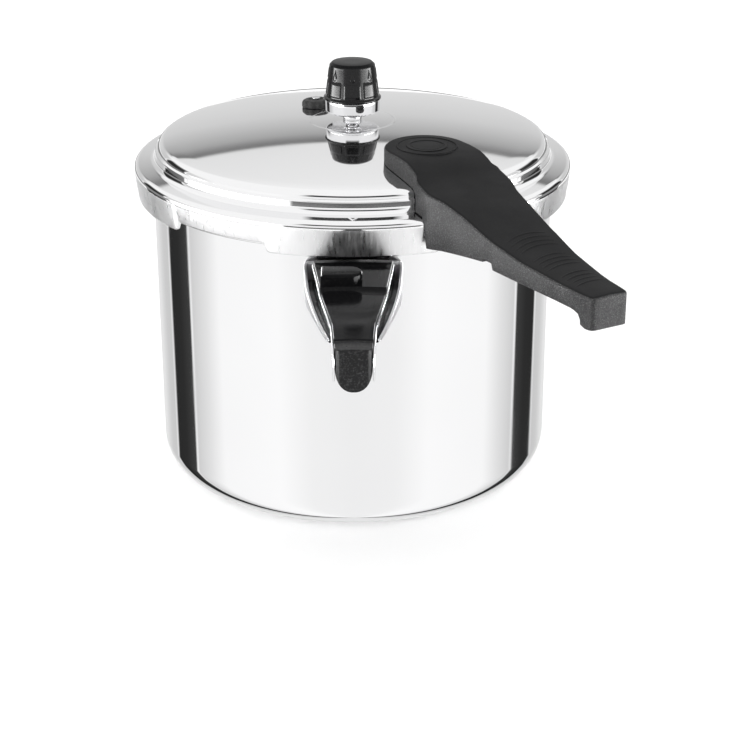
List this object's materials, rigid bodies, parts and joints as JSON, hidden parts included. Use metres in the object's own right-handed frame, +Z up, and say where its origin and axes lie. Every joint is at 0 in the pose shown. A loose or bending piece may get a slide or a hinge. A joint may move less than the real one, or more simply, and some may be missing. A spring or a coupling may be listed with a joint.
{
  "type": "pressure canner",
  "caption": "Small pressure canner: polished round pot, twist-lock lid with lugs, two long black handles, a capped dead weight on the vent pipe, a safety plug and a jar rack.",
  "frame": {"origin": "centre of the pot's flat base, on the surface it stands on", "axes": "+Z up through the vent pipe; -Y along the pot's long handle; the lid's handle points 29 degrees from it towards +X, where the lid drops on"},
  "size_m": [0.2213, 0.3142, 0.209],
  "materials": {
    "pot_metal": "polished",
    "lid_metal": "polished",
    "guard_metal": "polished",
    "rivet_metal": "satin",
    "grip_plastic": "matte, finely textured",
    "nose_plastic": "glossy",
    "cap_plastic": "glossy",
    "weight_metal": "polished",
    "screw_metal": "satin",
    "insert_metal": "satin",
    "seal_rubber": "matte",
    "rack_metal": "satin"
  },
  "bodies": {
    "pot": {"pot_shell": "pot_metal", "flame_guard": "guard_metal", "bracket_rivet_1": "rivet_metal", "bracket_rivet_2": "rivet_metal", "pot_handle": "nose_plastic", "pot_handle_screw": "screw_metal", "pot_handle_insert": "insert_metal", "handle_strip_1": "guard_metal", "handle_strip_2": "guard_metal"},
    "gasket": {"gasket": "seal_rubber"},
    "lid": {"lid_shell": "lid_metal", "lid_handle": "grip_plastic", "lid_handle_disc": "grip_plastic", "lid_screw_seal_1": "seal_rubber", "lid_screw_seal_2": "seal_rubber", "lid_handle_screw_1": "screw_metal", "lid_handle_screw_2": "screw_metal", "lid_handle_insert_1": "insert_metal", "lid_handle_insert_2": "insert_metal", "vent_pipe": "screw_metal", "vent_seal": "seal_rubber", "vent_nut": "screw_metal", "safety_valve_plug": "seal_rubber"},
    "safety_pin": {"safety_valve_pin": "screw_metal"},
    "weight_clip": {"weight_clip": "screw_metal"},
    "weight": {"weight_body": "weight_metal", "weight_seat": "screw_metal", "weight_cap": "cap_plastic"},
    "rack": {"jar_rack": "rack_metal"}
  },
  "joints": [
    {"name": "lid_lift", "type": "slide", "parent": "pot", "child": "gasket", "axis": [0, 0, 1], "range_m": [0, 0.12]},
    {"name": "lid_turn", "type": "hinge", "parent": "gasket", "child": "lid", "pos_m": [0, 0, 0.157], "axis": [0, 0, -1], "range_deg": [0, 29]},
    {"name": "weight_lift", "type": "slide", "parent": "lid", "child": "weight_clip", "axis": [0, 0, 1], "range_m": [0, 0.03]},
    {"name": "weight_spin", "type": "hinge", "parent": "weight_clip", "child": "weight", "pos_m": [0, 0, 0.1867], "axis": [0, 0, 1], "continuous": true},
    {"name": "safety_pin_rise", "type": "slide", "parent": "lid", "child": "safety_pin", "axis": [-0.0327, 0.0478, 0.9983], "range_m": [0, 0.003]},
    {"name": "rack_lift", "type": "slide", "parent": "pot", "child": "rack", "axis": [0, 0, 1], "range_m": [0, 0.12]}
  ]
}
